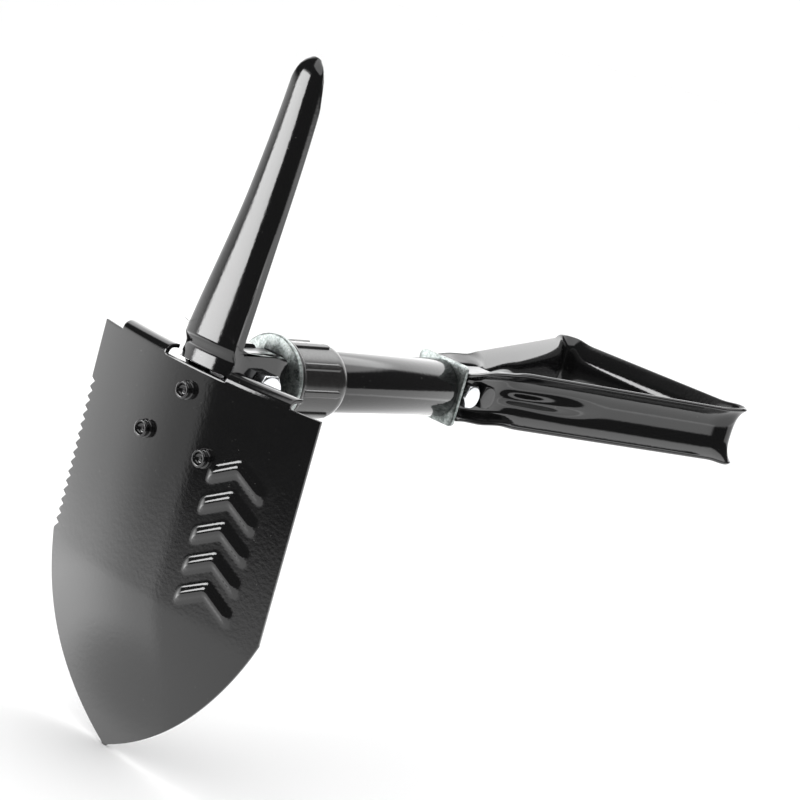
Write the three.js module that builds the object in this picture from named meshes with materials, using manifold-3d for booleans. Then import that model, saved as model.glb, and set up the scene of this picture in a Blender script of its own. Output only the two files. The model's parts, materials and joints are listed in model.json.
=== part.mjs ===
// Folding camp shovel with a pick and a D handle, in millimetres, +Z up.
// It stands in the hoe-and-pick set-up: the blade hangs down, the pick points up, and the tube
// runs along +Y from the hinge to the handle. Every piece is drawn with the hinge axis along X
// through (0, 0, 0). At the end the whole group is lifted so that the middle of its underside
// is the origin.
import * as THREE from 'three';
import { mergeVertices } from 'three/addons/utils/BufferGeometryUtils.js';
import Module from 'manifold-3d';

const wasm = await Module();
wasm.setup();

// ---------------------------------------------------------------- driving dimensions
const GAP = 0.3; // clearance between pieces that touch

const BLADE_WIDTH = 126;
const BLADE_SIDE_END = 88; // below the hinge, where the straight sides end
const BLADE_TIP = 157.9; // below the hinge
const BLADE_TOP = 3.2; // above the hinge
const BLADE_THICK = 1.8;
const BLADE_FRONT = 25; // outer face at the centre line, ahead of the hinge
const BLADE_BOW = 8.2; // depth of the bow across the full width
const TIP_BOW = 2.6; // bow left at the point
const POINT_SAGITTA = 10; // roundness of each side of the point
const LIP_INNER = 17; // foot lips, from the centre line
const LIP_OUTER = 50;
const LIP_REACH = 5.6;
const LIP_RADIUS = 2.6;
const TOOTH_COUNT = 16;
const TOOTH_PITCH = 4.15;
const TOOTH_DEPTH = 3;
const SAW_START = 21.8; // below the hinge

const LUG_FLAT = 12.6; // from the hinge to each flat that the washer bears on
const LUG_CORNER = 3.4;
const BRACKET_THICK = 3;
const BRACKET_HALF_WIDTH = 25;
const BRACKET_TOP = 2.6; // below the hinge
const BRACKET_BOTTOM = 37; // below the hinge
const BRACKET_PLATE = 2.5;
const RIVET_TOP_DOWN = 6.3;
const RIVET_SIDE_DOWN = 28.3;
const RIVET_SIDE_OUT = 17.3;
const RIVET_RADIUS = 3.6;
const RIVET_SHANK = 2.5;
const RIVET_STAND = 2.6;

const PICK_LEAN = 8; // degrees from upright towards the handle
const PICK_LENGTH = 128; // from the hinge
const PICK_TIP_HALF = 7.6;
const PICK_WALL = 2.2;
const PICK_EDGE = 16.4; // walls' rear edge, ahead of the hinge
const PICK_BASE_DEPTH = 9.2;
const PICK_TIP_DEPTH = 7.2;
const PICK_BOTTOM = 1; // lower end of the spine, above the hinge
const PICK_TUCK = 2.9; // how far the spine's foot steps in behind the blade's top edge

const HINGE_BOLT_RADIUS = 4;
const HINGE_HEX = 13; // across flats
const HINGE_HEAD = 5.3;
const HINGE_NUT = 6.8;
const TONGUE_THICK = 10;
const TONGUE_SHOULDER = 1; // by which the tongue's corners stay inside the tube's outline
const SPACER_THICK = 2.3;

const WASHER_CLEAR = 0.59; // between the lugs' turning corners and the washer at rest
const WASHER_THICK = 2.4;
const WASHER_RADIUS = 18.6;
const COLLAR_LENGTH = 31.4;
const COLLAR_WALL = 2.6;
const COLLAR_RIB = 0.9;
const COLLAR_RIBS = 9;
const COLLAR_FLANGE_STEP = 1.9; // the flange stands this far above the collar's body
const COLLAR_FLANGE = 3;
const COLLAR_TRAVEL = 4; // along the tube, either way from rest, one turn of the thread

const TUBE_RADIUS = 13;
const TUBE_WALL = 1.6;
const TUBE_LENGTH = 100;
const TUBE_SETBACK = 2.2; // between the tube's front end and the washer run fully back
const PLUG_LENGTH = 24;
const PLUG_WALL = 2;
const PIN_RADIUS = 2.5;

const PLATE_MARGIN = 1; // beyond the tube on each side
const PLATE_THICK = 1.8;
const PLATE_CORNER = 2.2;
const TANG_THICK = 13.8;

const HANDLE_LENGTH = 168.6; // from the arms' front ends to the grip's rear edge
const HANDLE_HALF_WIDTH = 60; // where the two straight lip lines would meet
const STRIP_HALF_HEIGHT = 12.2;
const STRIP_THICK = 1.8;
const STRIP_DEPTH = 5.4;
const STRIP_FLAT_HALF = 6.4;
const ARM_STRAIGHT = 34; // length of the bolted, parallel part of each arm
const ARM_BEND = 8;
const HANDLE_CORNER = 15;
const REAR_BOLT_RADIUS = 3;
const REAR_HEX = 10;
const REAR_HEAD = 4;
const REAR_NUT = 5;
const REAR_BOLT_BACK = 8.6; // bolt axis behind the plate
const TIE_BOLT_BACK = 20;

// ---------------------------------------------------------------- sizes that follow
const BLADE_HALF = BLADE_WIDTH / 2;
const EDGE_FRONT = BLADE_FRONT - BLADE_BOW;

// The hinge stack, outwards from the centre line: tongue, bracket lug, spacer, pick lug.
const BRACKET_INNER = TONGUE_THICK / 2 + GAP;
const BRACKET_OUTER = BRACKET_INNER + BRACKET_THICK;
const SPACER_INNER = BRACKET_OUTER + GAP;
const SPACER_OUTER = SPACER_INNER + SPACER_THICK;
const PICK_LUG_INNER = SPACER_OUTER + GAP;
const PICK_BASE_HALF = PICK_LUG_INNER + PICK_WALL;
const HINGE_HOLE = HINGE_BOLT_RADIUS + GAP;

// The locking pack and the tube, backwards from the circle that the lugs' corners sweep.
const LUG_SWEEP = Math.SQRT2 * (LUG_FLAT - LUG_CORNER) + LUG_CORNER;
const WASHER_FRONT = LUG_SWEEP + WASHER_CLEAR;
const COLLAR_FRONT = WASHER_FRONT + WASHER_THICK + GAP;
const COLLAR_BORE = TUBE_RADIUS + GAP;
const COLLAR_RADIUS = COLLAR_BORE + COLLAR_WALL;
const COLLAR_FLANGE_RADIUS = COLLAR_RADIUS + COLLAR_FLANGE_STEP;
const TUBE_FRONT = WASHER_FRONT + WASHER_THICK + COLLAR_TRAVEL + TUBE_SETBACK;
const TUBE_REAR = TUBE_FRONT + TUBE_LENGTH;
const PLUG_RADIUS = TUBE_RADIUS - TUBE_WALL - GAP;
const TONGUE_HALF_HEIGHT = Math.sqrt(TUBE_RADIUS ** 2 - (TONGUE_THICK / 2) ** 2) - TONGUE_SHOULDER;
const TONGUE_STEM_HALF = Math.sqrt((PLUG_RADIUS - PLUG_WALL) ** 2 - BRACKET_INNER ** 2) - GAP;

// The rear end.
const TANG_HALF_HEIGHT = Math.sqrt(PLUG_RADIUS ** 2 - (TANG_THICK / 2) ** 2) - 0.1;
const PLATE_FRONT = TUBE_REAR + GAP;
const PLATE_REAR = PLATE_FRONT + PLATE_THICK;
const PLATE_SIDE = 2 * (TUBE_RADIUS + PLATE_MARGIN);
const ARM_FRONT = PLATE_REAR + GAP;
const HANDLE_END = ARM_FRONT + HANDLE_LENGTH;
const WEB_INNER = TANG_THICK / 2 + GAP;
const WEB_OUTER = WEB_INNER + STRIP_THICK;
const ARM_LIP = WEB_OUTER + STRIP_DEPTH;
const REAR_HOLE = REAR_BOLT_RADIUS + GAP;
const ROUND = 32; // sides of a round piece

// ---------------------------------------------------------------- materials
const finish = (color, roughness, metalness) => new THREE.MeshStandardMaterial({
  color, roughness, metalness,
});
const blackPaint = () => finish(0x0c0c0c, 0.22, 0.1);
const zinc = () => finish(0xa9adab, 0.42, 0.9);
const brightZinc = () => finish(0xd4d6d8, 0.22, 1);
const plainSteel = () => finish(0x74767a, 0.4, 0.9);
const blackPlastic = () => finish(0x141414, 0.3, 0);

// ---------------------------------------------------------------- solids
function solid(geometry) {
  const bare = geometry.clone();
  bare.deleteAttribute('normal');
  bare.deleteAttribute('uv');
  const merged = mergeVertices(bare, 1e-4);
  return new wasm.Manifold(new wasm.Mesh({
    numProp: 3,
    vertProperties: merged.getAttribute('position').array,
    triVerts: new Uint32Array(merged.index.array),
  }));
}

function geometryOf(body) {
  const mesh = body.getMesh();
  const geometry = new THREE.BufferGeometry();
  geometry.setAttribute('position', new THREE.BufferAttribute(mesh.vertProperties, 3));
  geometry.setIndex(new THREE.BufferAttribute(mesh.triVerts, 1));
  geometry.computeVertexNormals();
  return geometry;
}

const joined = (first, ...rest) => rest.reduce((body, next) => body.add(next), first);
const cut = (first, ...rest) => rest.reduce((body, next) => body.subtract(next), first);

function movedPoints(geometry, place) {
  const position = geometry.getAttribute('position');
  for (let i = 0; i < position.count; i += 1) {
    const [x, y, z] = place(position.getX(i), position.getY(i), position.getZ(i));
    position.setXYZ(i, x, y, z);
  }
  return geometry;
}

// A block given by its lowest and highest corners.
function block(low, high) {
  const size = high.map((value, axis) => value - low[axis]);
  const middle = high.map((value, axis) => (value + low[axis]) / 2);
  return solid(new THREE.BoxGeometry(...size).translate(...middle));
}

// A rod along X or along Y, between two stations on that axis.
function rodX(radius, from, to, y = 0, z = 0, sides = ROUND) {
  const rod = new THREE.CylinderGeometry(radius, radius, to - from, sides);
  return solid(rod.rotateZ(-Math.PI / 2).translate((from + to) / 2, y, z));
}

function rodY(radius, from, to, x = 0, z = 0, sides = ROUND) {
  const rod = new THREE.CylinderGeometry(radius, radius, to - from, sides);
  return solid(rod.translate(x, (from + to) / 2, z));
}

// A hexagonal head or nut along X.
function hexX(acrossFlats, from, to, y = 0, z = 0) {
  return rodX(acrossFlats / Math.sqrt(3), from, to, y, z, 6);
}

// An outline in the YZ plane, made into a plate from x = from to x = to.
function plateX(outline, from, to) {
  const plate = new THREE.ExtrudeGeometry(outline, {
    depth: to - from, bevelEnabled: false, curveSegments: 6,
  });
  return solid(movedPoints(plate, (u, v, w) => [from + w, u, v]));
}

// An outline in the XZ plane, made into a plate from y = from to y = to.
function plateY(outline, from, to, curveSegments = 6) {
  const plate = new THREE.ExtrudeGeometry(outline, {
    depth: to - from, bevelEnabled: false, curveSegments,
  });
  return solid(movedPoints(plate, (u, v, w) => [u, to - w, v]));
}

// A turned piece along Y, from [radius, y] points listed from one end to the other.
function turnedY(points, sides = ROUND) {
  return solid(new THREE.LatheGeometry(points.map(([r, y]) => new THREE.Vector2(r, y)), sides));
}

function roundedRectangle(low, high, radius) {
  const [x0, y0] = low;
  const [x1, y1] = high;
  const shape = new THREE.Shape();
  shape.moveTo(x1 - radius, y0);
  shape.absarc(x1 - radius, y0 + radius, radius, -Math.PI / 2, 0);
  shape.absarc(x1 - radius, y1 - radius, radius, 0, Math.PI / 2);
  shape.absarc(x0 + radius, y1 - radius, radius, Math.PI / 2, Math.PI);
  shape.absarc(x0 + radius, y0 + radius, radius, Math.PI, Math.PI * 1.5);
  return shape;
}

const smooth = (value, from, to) => THREE.MathUtils.smoothstep(value, from, to);

// ---------------------------------------------------------------- blade
// Outer face of the blade, as a distance along Y from the hinge.
function bladeFace(x, z) {
  const fade = smooth(-z, BLADE_SIDE_END, BLADE_TIP);
  const bow = THREE.MathUtils.lerp(BLADE_BOW, TIP_BOW, fade);
  return -EDGE_FRONT - bow * (1 - (x / BLADE_HALF) ** 2);
}

// A slab that follows the blade's face, offset backwards by its two faces.
function bowedSlab(halfWidth, bottom, top, front, back, across, along) {
  const slab = new THREE.BoxGeometry(2, 1, 1, across, 1, along);
  return solid(movedPoints(slab, (u, v, w) => {
    const x = u * halfWidth;
    const z = THREE.MathUtils.lerp(bottom, top, w + 0.5);
    return [x, bladeFace(x, z) + THREE.MathUtils.lerp(front, back, v + 0.5), z];
  }));
}

// One side of the point: an arc through both ends with the given sagitta.
function pointArc(from, to, sagitta, steps) {
  const chord = to.clone().sub(from);
  const outward = new THREE.Vector2(-chord.y, chord.x).normalize().multiplyScalar(-1);
  const radius = ((chord.length() / 2) ** 2 + sagitta ** 2) / (2 * sagitta);
  const points = [];
  for (let step = 1; step <= steps; step += 1) {
    const along = step / steps;
    const half = chord.length() * (along - 0.5);
    const rise = Math.sqrt(radius ** 2 - half ** 2) - radius + sagitta;
    points.push(from.clone().addScaledVector(chord, along).addScaledVector(outward, rise));
  }
  return points;
}

function bladeOutline() {
  const points = [new THREE.Vector2(BLADE_HALF, BLADE_TOP)];
  points.push(new THREE.Vector2(-BLADE_HALF, BLADE_TOP));
  for (let tooth = 0; tooth < TOOTH_COUNT; tooth += 1) {
    const top = -SAW_START - tooth * TOOTH_PITCH;
    points.push(new THREE.Vector2(-BLADE_HALF, top));
    points.push(new THREE.Vector2(-BLADE_HALF + TOOTH_DEPTH, top - TOOTH_PITCH * 0.25));
  }
  const left = new THREE.Vector2(-BLADE_HALF, -BLADE_SIDE_END);
  const right = new THREE.Vector2(BLADE_HALF, -BLADE_SIDE_END);
  const tip = new THREE.Vector2(0, -BLADE_TIP);
  points.push(left);
  points.push(...pointArc(left, tip, POINT_SAGITTA, 7));
  points.push(...pointArc(tip, right, POINT_SAGITTA, 7));
  return new THREE.Shape(points);
}

// A foot lip: the blade's top edge turned backwards through a right angle.
function footLip(side) {
  const outline = new THREE.Shape();
  const inner = LIP_RADIUS - BLADE_THICK;
  outline.moveTo(0, -1);
  outline.lineTo(0, 0);
  outline.absarc(LIP_RADIUS, 0, LIP_RADIUS, Math.PI, Math.PI / 2, true);
  outline.lineTo(LIP_REACH, LIP_RADIUS);
  outline.lineTo(LIP_REACH, inner);
  outline.lineTo(LIP_RADIUS, inner);
  outline.absarc(LIP_RADIUS, 0, inner, Math.PI / 2, Math.PI);
  outline.lineTo(BLADE_THICK, -1);
  const width = LIP_OUTER - LIP_INNER;
  const lip = new THREE.ExtrudeGeometry(outline, {
    depth: width, steps: 6, bevelEnabled: false, curveSegments: 5,
  });
  const from = side > 0 ? LIP_INNER : -LIP_OUTER;
  return solid(movedPoints(lip, (u, v, w) => {
    const x = from + w;
    return [x, bladeFace(x, BLADE_TOP) + u, BLADE_TOP + v];
  }));
}

const rivetPlaces = {
  blade_rivet_top: [0, -RIVET_TOP_DOWN],
  blade_rivet_left: [-RIVET_SIDE_OUT, -RIVET_SIDE_DOWN],
  blade_rivet_right: [RIVET_SIDE_OUT, -RIVET_SIDE_DOWN],
};

function rivetHoles(radius) {
  return Object.values(rivetPlaces).map(([x, z]) => rodY(radius, -2 * BLADE_FRONT, 0, x, z, 16));
}

function bladePlate() {
  const margin = 2;
  const slab = bowedSlab(BLADE_HALF + margin, -BLADE_TIP - margin, BLADE_TOP + margin,
    0, BLADE_THICK, 22, 20);
  const stamped = slab.intersect(plateY(bladeOutline(), -2 * BLADE_FRONT, 0));
  return cut(joined(stamped, footLip(-1), footLip(1)), ...rivetHoles(RIVET_SHANK + GAP));
}

// A square lug around the hinge with round corners, as a YZ outline.
function squareLug() {
  return roundedRectangle([-LUG_FLAT, -LUG_FLAT], [LUG_FLAT, LUG_FLAT], LUG_CORNER);
}

// The arms end level with the lugs' lower flats, so that the bracket's plate alone passes under
// the washer and the collar when the blade is stowed.
function bladeBracket() {
  const back = BLADE_THICK + GAP;
  const base = bowedSlab(BRACKET_HALF_WIDTH, -BRACKET_BOTTOM, -BRACKET_TOP, back,
    back + BRACKET_PLATE, 8, 2);
  const reach = -BLADE_FRONT + back + BRACKET_PLATE - 0.6;
  const arm = new THREE.Shape();
  arm.moveTo(reach, -BRACKET_TOP);
  arm.lineTo(0, -BRACKET_TOP);
  arm.lineTo(0, -LUG_FLAT);
  arm.lineTo(reach, -LUG_FLAT);
  let bracket = base;
  for (const from of [BRACKET_INNER, -BRACKET_OUTER]) {
    const to = from + BRACKET_THICK;
    bracket = joined(bracket, plateX(arm, from, to), plateX(squareLug(), from, to));
  }
  return cut(bracket, rodX(HINGE_HOLE, -20, 20), ...rivetHoles(RIVET_SHANK + GAP));
}

// A semi-tubular rivet: dished round end in front, formed head behind the bracket.
function bladeRivet(x, z) {
  const front = bladeFace(x, z) - 0.5;
  const rear = front + 0.5 + BLADE_THICK + GAP + BRACKET_PLATE + 0.9;
  const rim = RIVET_RADIUS - 0.8;
  const rivet = turnedY([
    [0, front - RIVET_STAND + 1.5],
    [RIVET_RADIUS - 1.5, front - RIVET_STAND + 1.2],
    [rim, front - RIVET_STAND],
    [RIVET_RADIUS, front - RIVET_STAND + 0.6],
    [RIVET_RADIUS, front],
    [RIVET_SHANK, front],
    [RIVET_SHANK, rear],
    [RIVET_RADIUS + 0.8, rear],
    [RIVET_RADIUS, rear + 1.4],
    [0, rear + 1.4],
  ], 18);
  return rivet.translate([x, 0, z]);
}

// ---------------------------------------------------------------- pick
// Everything here is drawn with the pick upright, and leaned back as a whole afterwards.
// halfWidth and front give the outer surface at a share t of the way from foot to tip.
const PICK_SPAN = PICK_LENGTH - PICK_BOTTOM;

function pickSection(t, inset) {
  const z = PICK_BOTTOM + t * PICK_SPAN;
  const end = Math.sqrt(1 - Math.max(0, (t - 0.9) / 0.1) ** 2 * 0.75);
  const halfWidth = THREE.MathUtils.lerp(PICK_BASE_HALF, PICK_TIP_HALF, t) * end - inset;
  const depth = THREE.MathUtils.lerp(PICK_BASE_DEPTH, PICK_TIP_DEPTH, smooth(t, 0, 0.5));
  const hook = 2.2 * (2 * t - 1) ** 2 * smooth(t, 0.3, 1);
  const tuck = PICK_TUCK * (1 - smooth(z, PICK_BOTTOM + 6, PICK_BOTTOM + 15));
  const rear = -PICK_EDGE - hook;
  const front = rear - depth * (0.55 + 0.45 * end) + tuck + inset;
  return { z, halfWidth, front, rear };
}

// The closed outer body, or the hollow inside its walls, which runs out through the back.
function pickBody(inset, behind, steps, reach) {
  const section = roundedRectangle([-1, 0], [1, 1.9], 0.55);
  const body = new THREE.ExtrudeGeometry(section, {
    depth: 1, steps, bevelEnabled: false, curveSegments: 5,
  });
  const half = solid(movedPoints(body, (u, v, w) => {
    const { z, halfWidth, front, rear } = pickSection(w * reach, inset);
    const y = front + v * (rear + behind - front);
    return [u * halfWidth, y, z];
  }));
  return half;
}

function pick() {
  const steps = 22;
  const rearCut = new THREE.BoxGeometry(80, 60, 1, 1, 1, steps);
  const behindEdge = solid(movedPoints(rearCut, (x, y, w) => {
    const t = (w + 0.5) * 1.1 - 0.05;
    const { z, rear } = pickSection(Math.min(Math.max(t, 0), 1), 0);
    const shifted = z + (t - Math.min(Math.max(t, 0), 1)) * PICK_SPAN;
    return [x, y < 0 ? rear : rear + 60, shifted];
  }));
  const channel = cut(pickBody(0, 4, steps, 1), behindEdge);
  const inset = PICK_WALL;
  const hollow = pickBody(inset, 14, steps, 0.97);
  const foot = new THREE.Shape();
  const front = -PICK_EDGE - 1;
  foot.moveTo(front, PICK_BOTTOM);
  foot.lineTo(-LUG_FLAT + LUG_CORNER, -LUG_FLAT);
  foot.lineTo(0, -LUG_FLAT);
  foot.lineTo(0, LUG_FLAT);
  foot.lineTo(-PICK_EDGE + 2, LUG_FLAT);
  foot.lineTo(-PICK_EDGE, LUG_FLAT + 3);
  foot.lineTo(front, LUG_FLAT + 3);
  let body = channel;
  for (const from of [PICK_LUG_INNER, -PICK_BASE_HALF]) {
    const to = from + PICK_WALL;
    body = joined(body, plateX(foot, from, to), plateX(squareLug(), from, to));
  }
  const open = block([-PICK_LUG_INNER, -PICK_EDGE - 0.5, -20], [PICK_LUG_INNER, 40, 30]);
  const below = hollow.translate([0, 0, -2]).intersect(block([-50, -50, -5], [50, 50, 3]));
  return cut(body, hollow, below, open, rodX(HINGE_HOLE, -30, 30));
}

// ---------------------------------------------------------------- hinge pieces
function hingeBolt() {
  const seat = PICK_BASE_HALF + GAP;
  const shank = rodX(HINGE_BOLT_RADIUS, -seat - HINGE_NUT - 1.5, seat);
  return joined(shank, hexX(HINGE_HEX, seat - 0.01, seat + HINGE_HEAD));
}

function nutX(acrossFlats, from, to, boltRadius, y = 0) {
  return cut(hexX(acrossFlats, from, to, y), rodX(boltRadius + GAP, from - 1, to + 1, y));
}

function hingeSpacer(side) {
  const [from, to] = side > 0 ? [SPACER_INNER, SPACER_OUTER] : [-SPACER_OUTER, -SPACER_INNER];
  return cut(rodX(8.4, from, to), rodX(HINGE_HOLE, from - 1, to + 1));
}

function hingeTongue() {
  const half = TONGUE_THICK / 2;
  const nose = rodX(TONGUE_HALF_HEIGHT, -half, half);
  const step = TUBE_FRONT - GAP;
  const blade = block([-half, 0, -TONGUE_HALF_HEIGHT], [half, step, TONGUE_HALF_HEIGHT]);
  const stem = block([-half, step - 1, -TONGUE_STEM_HALF],
    [half, TUBE_FRONT + PLUG_LENGTH, TONGUE_STEM_HALF]);
  const pinHole = rodX(PIN_RADIUS + GAP, -20, 20, TUBE_FRONT + PLUG_LENGTH / 2, 0, 20);
  return cut(joined(nose, blade, stem), rodX(HINGE_HOLE, -20, 20), pinHole);
}

function frontPlug() {
  const half = TONGUE_THICK / 2 + GAP;
  const high = TONGUE_STEM_HALF + GAP;
  const slot = block([-half, 0, -high], [half, 100, high]);
  const pinHole = rodX(PIN_RADIUS + GAP, -20, 20, TUBE_FRONT + PLUG_LENGTH / 2, 0, 20);
  return cut(rodY(PLUG_RADIUS, TUBE_FRONT, TUBE_FRONT + PLUG_LENGTH), slot, pinHole);
}

function tonguePin() {
  const reach = PLUG_RADIUS - 0.6;
  return rodX(PIN_RADIUS, -reach, reach, TUBE_FRONT + PLUG_LENGTH / 2, 0, 20);
}

// ---------------------------------------------------------------- washer and collar
function lockWasher() {
  const back = WASHER_FRONT + WASHER_THICK;
  const half = TONGUE_THICK / 2 + GAP + 0.1;
  const high = TONGUE_HALF_HEIGHT + GAP + 0.1;
  const slot = block([-half, 0, -high], [half, 60, high]);
  return cut(rodY(WASHER_RADIUS, WASHER_FRONT, back, 0, 0, 48), slot);
}

// Nine raised ribs run along the collar from its flange to its rounded rear edge.
function lockCollar() {
  const rear = COLLAR_FRONT + COLLAR_LENGTH;
  const grip = new THREE.Shape();
  const turn = (2 * Math.PI) / COLLAR_RIBS;
  for (let rib = 0; rib < COLLAR_RIBS; rib += 1) {
    for (const [share, extra] of [[0, 0], [0.34, 0], [0.68, 0], [0.72, 1], [0.84, 1], [0.96, 1]]) {
      const angle = (rib + share) * turn;
      const radius = COLLAR_RADIUS + extra * COLLAR_RIB;
      const point = [radius * Math.cos(angle), radius * Math.sin(angle)];
      if (rib === 0 && share === 0) grip.moveTo(...point);
      else grip.lineTo(...point);
    }
  }
  const ribbed = plateY(grip, COLLAR_FRONT + 1, rear - 1.2);
  const body = turnedY([
    [0, COLLAR_FRONT],
    [COLLAR_FLANGE_RADIUS, COLLAR_FRONT],
    [COLLAR_FLANGE_RADIUS, COLLAR_FRONT + COLLAR_FLANGE - 0.6],
    [COLLAR_FLANGE_RADIUS - 0.6, COLLAR_FRONT + COLLAR_FLANGE],
    [COLLAR_RADIUS - 0.2, COLLAR_FRONT + COLLAR_FLANGE],
    [COLLAR_RADIUS - 0.2, rear - 1.6],
    [COLLAR_RADIUS - 0.9, rear - 0.4],
    [COLLAR_RADIUS - 1.7, rear],
    [0, rear],
  ], 40);
  return cut(joined(body, ribbed), rodY(COLLAR_BORE, 0, 100, 0, 0, 40));
}

// ---------------------------------------------------------------- tube and its rear end
function shaftTube() {
  const inner = TUBE_RADIUS - TUBE_WALL;
  return cut(rodY(TUBE_RADIUS, TUBE_FRONT, TUBE_REAR, 0, 0, 40),
    rodY(inner, TUBE_FRONT - 5, TUBE_REAR + 5, 0, 0, 40));
}

function endPlate() {
  const half = PLATE_SIDE / 2;
  const square = roundedRectangle([-half, -half], [half, half], PLATE_CORNER);
  const across = TANG_THICK / 2 + GAP;
  const high = TANG_HALF_HEIGHT + GAP;
  return cut(plateY(square, PLATE_FRONT, PLATE_REAR, 4), block([-across, 0, -high],
    [across, 200, high]));
}

function rearBoltHoles(radius) {
  return [REAR_BOLT_BACK, TIE_BOLT_BACK].map((back) => rodX(radius, -40, 40, PLATE_REAR + back));
}

function handleTang() {
  const half = TANG_THICK / 2;
  const high = TANG_HALF_HEIGHT;
  const plug = rodY(PLUG_RADIUS, TUBE_REAR - PLUG_LENGTH, TUBE_REAR - 0.2);
  const bar = block([-half, TUBE_REAR - 5, -high], [half, ARM_FRONT + ARM_STRAIGHT - 1, high]);
  return cut(joined(plug, bar), ...rearBoltHoles(REAR_HOLE));
}

// ---------------------------------------------------------------- D handle
// The strip's section: u runs outwards from the lips' line, v is the height.
function stripSection() {
  const deep = -STRIP_DEPTH;
  const back = deep - STRIP_THICK;
  const high = STRIP_HALF_HEIGHT;
  const flat = STRIP_FLAT_HALF;
  const shape = new THREE.Shape();
  shape.moveTo(0, high);
  shape.quadraticCurveTo(deep, high - 1.4, deep, flat);
  shape.lineTo(deep, -flat);
  shape.quadraticCurveTo(deep, -high + 1.4, 0, -high);
  shape.lineTo(-0.9, -high - 0.2);
  shape.quadraticCurveTo(back, -high + 0.4, back, -flat);
  shape.lineTo(back, flat);
  shape.quadraticCurveTo(back, high - 0.4, -0.9, high + 0.2);
  shape.closePath();
  return shape.getPoints(4);
}

// The line of the lips in plan, from the near arm's front end round to the far arm's.
function handlePath() {
  const start = new THREE.Vector2(ARM_LIP, ARM_FRONT);
  const bend = new THREE.Vector2(ARM_LIP, ARM_FRONT + ARM_STRAIGHT);
  const corner = new THREE.Vector2(HANDLE_HALF_WIDTH, HANDLE_END);
  const half = [start];
  const rounded = (before, at, after, size) => {
    const from = at.clone().addScaledVector(before.clone().sub(at).normalize(), size);
    const to = at.clone().addScaledVector(after.clone().sub(at).normalize(), size);
    return new THREE.QuadraticBezierCurve(from, at, to).getPoints(6);
  };
  half.push(...rounded(start, bend, corner, ARM_BEND));
  half.push(...rounded(bend, corner, new THREE.Vector2(0, HANDLE_END), HANDLE_CORNER));
  const mirrored = half.map((point) => new THREE.Vector2(-point.x, point.y)).reverse();
  return [...half, ...mirrored];
}

// The strip is laid along the path station by station, square to it in plan.
function handleStrip() {
  const path = handlePath();
  const section = stripSection();
  const strip = new THREE.ExtrudeGeometry(new THREE.Shape(section), {
    depth: path.length - 1, steps: path.length - 1, bevelEnabled: false,
  });
  const last = path.length - 1;
  return solid(movedPoints(strip, (u, v, w) => {
    const at = Math.round(w);
    const before = path[Math.max(at - 1, 0)];
    const after = path[Math.min(at + 1, last)];
    const into = path[at].clone().sub(before).normalize();
    const outof = after.clone().sub(path[at]).normalize();
    if (at === 0) into.copy(outof);
    if (at === last) outof.copy(into);
    const along = into.clone().add(outof).normalize();
    const stretch = 1 / Math.max(along.dot(into), 0.5);
    const outward = new THREE.Vector2(along.y, -along.x).multiplyScalar(u * stretch);
    return [path[at].x + outward.x, path[at].y + outward.y, -v];
  }));
}

function handleLoop() {
  return cut(handleStrip(), ...rearBoltHoles(REAR_HOLE));
}

function rearBolt(back) {
  const seat = WEB_OUTER + GAP;
  const y = PLATE_REAR + back;
  const shank = rodX(REAR_BOLT_RADIUS, -seat - REAR_NUT - 1, seat, y, 0, 20);
  return joined(shank, hexX(REAR_HEX, seat - 0.01, seat + REAR_HEAD, y));
}

function rearNut(back) {
  const seat = WEB_OUTER + GAP;
  return nutX(REAR_HEX, -seat - REAR_NUT, -seat, REAR_BOLT_RADIUS, PLATE_REAR + back);
}

// ---------------------------------------------------------------- assembly
const shovel = new THREE.Group();

function place(parent, name, body, material) {
  const mesh = new THREE.Mesh(geometryOf(body), material);
  mesh.name = name;
  parent.add(mesh);
}

const bladeGroup = new THREE.Group();
place(bladeGroup, 'blade_plate', bladePlate(), blackPaint());
place(bladeGroup, 'blade_bracket', bladeBracket(), blackPaint());
for (const [name, [x, z]] of Object.entries(rivetPlaces)) {
  place(bladeGroup, name, bladeRivet(x, z), blackPaint());
}
shovel.add(bladeGroup);

const pickGroup = new THREE.Group();
pickGroup.rotation.x = -THREE.MathUtils.degToRad(PICK_LEAN);
place(pickGroup, 'pick', pick(), blackPaint());
shovel.add(pickGroup);

place(shovel, 'hinge_bolt', hingeBolt(), brightZinc());
const nutFrom = PICK_BASE_HALF + GAP;
place(shovel, 'hinge_nut', nutX(HINGE_HEX, -nutFrom - HINGE_NUT, -nutFrom, HINGE_BOLT_RADIUS),
  brightZinc());
place(shovel, 'hinge_spacer_near', hingeSpacer(1), brightZinc());
place(shovel, 'hinge_spacer_far', hingeSpacer(-1), brightZinc());
place(shovel, 'hinge_tongue', hingeTongue(), plainSteel());
place(shovel, 'front_plug', frontPlug(), plainSteel());
place(shovel, 'tongue_pin', tonguePin(), plainSteel());
place(shovel, 'lock_washer', lockWasher(), zinc());
place(shovel, 'lock_collar', lockCollar(), blackPlastic());
place(shovel, 'shaft_tube', shaftTube(), blackPaint());
place(shovel, 'end_plate', endPlate(), zinc());
place(shovel, 'handle_tang', handleTang(), plainSteel());
place(shovel, 'handle_loop', handleLoop(), blackPaint());
place(shovel, 'handle_bolt', rearBolt(REAR_BOLT_BACK), brightZinc());
place(shovel, 'handle_nut', rearNut(REAR_BOLT_BACK), brightZinc());
place(shovel, 'tie_bolt', rearBolt(TIE_BOLT_BACK), blackPaint());
place(shovel, 'tie_nut', rearNut(TIE_BOLT_BACK), blackPaint());

// The origin goes to the middle of the underside of the whole shovel.
const box = new THREE.Box3().setFromObject(shovel, true);
shovel.position.set(-(box.min.x + box.max.x) / 2, -(box.min.y + box.max.y) / 2, -box.min.z);

export default shovel;
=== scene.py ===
# A folding camp shovel on a pale studio floor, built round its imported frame.
import json
import math

import bpy
import bmesh
from mathutils import Matrix, Vector


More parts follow.
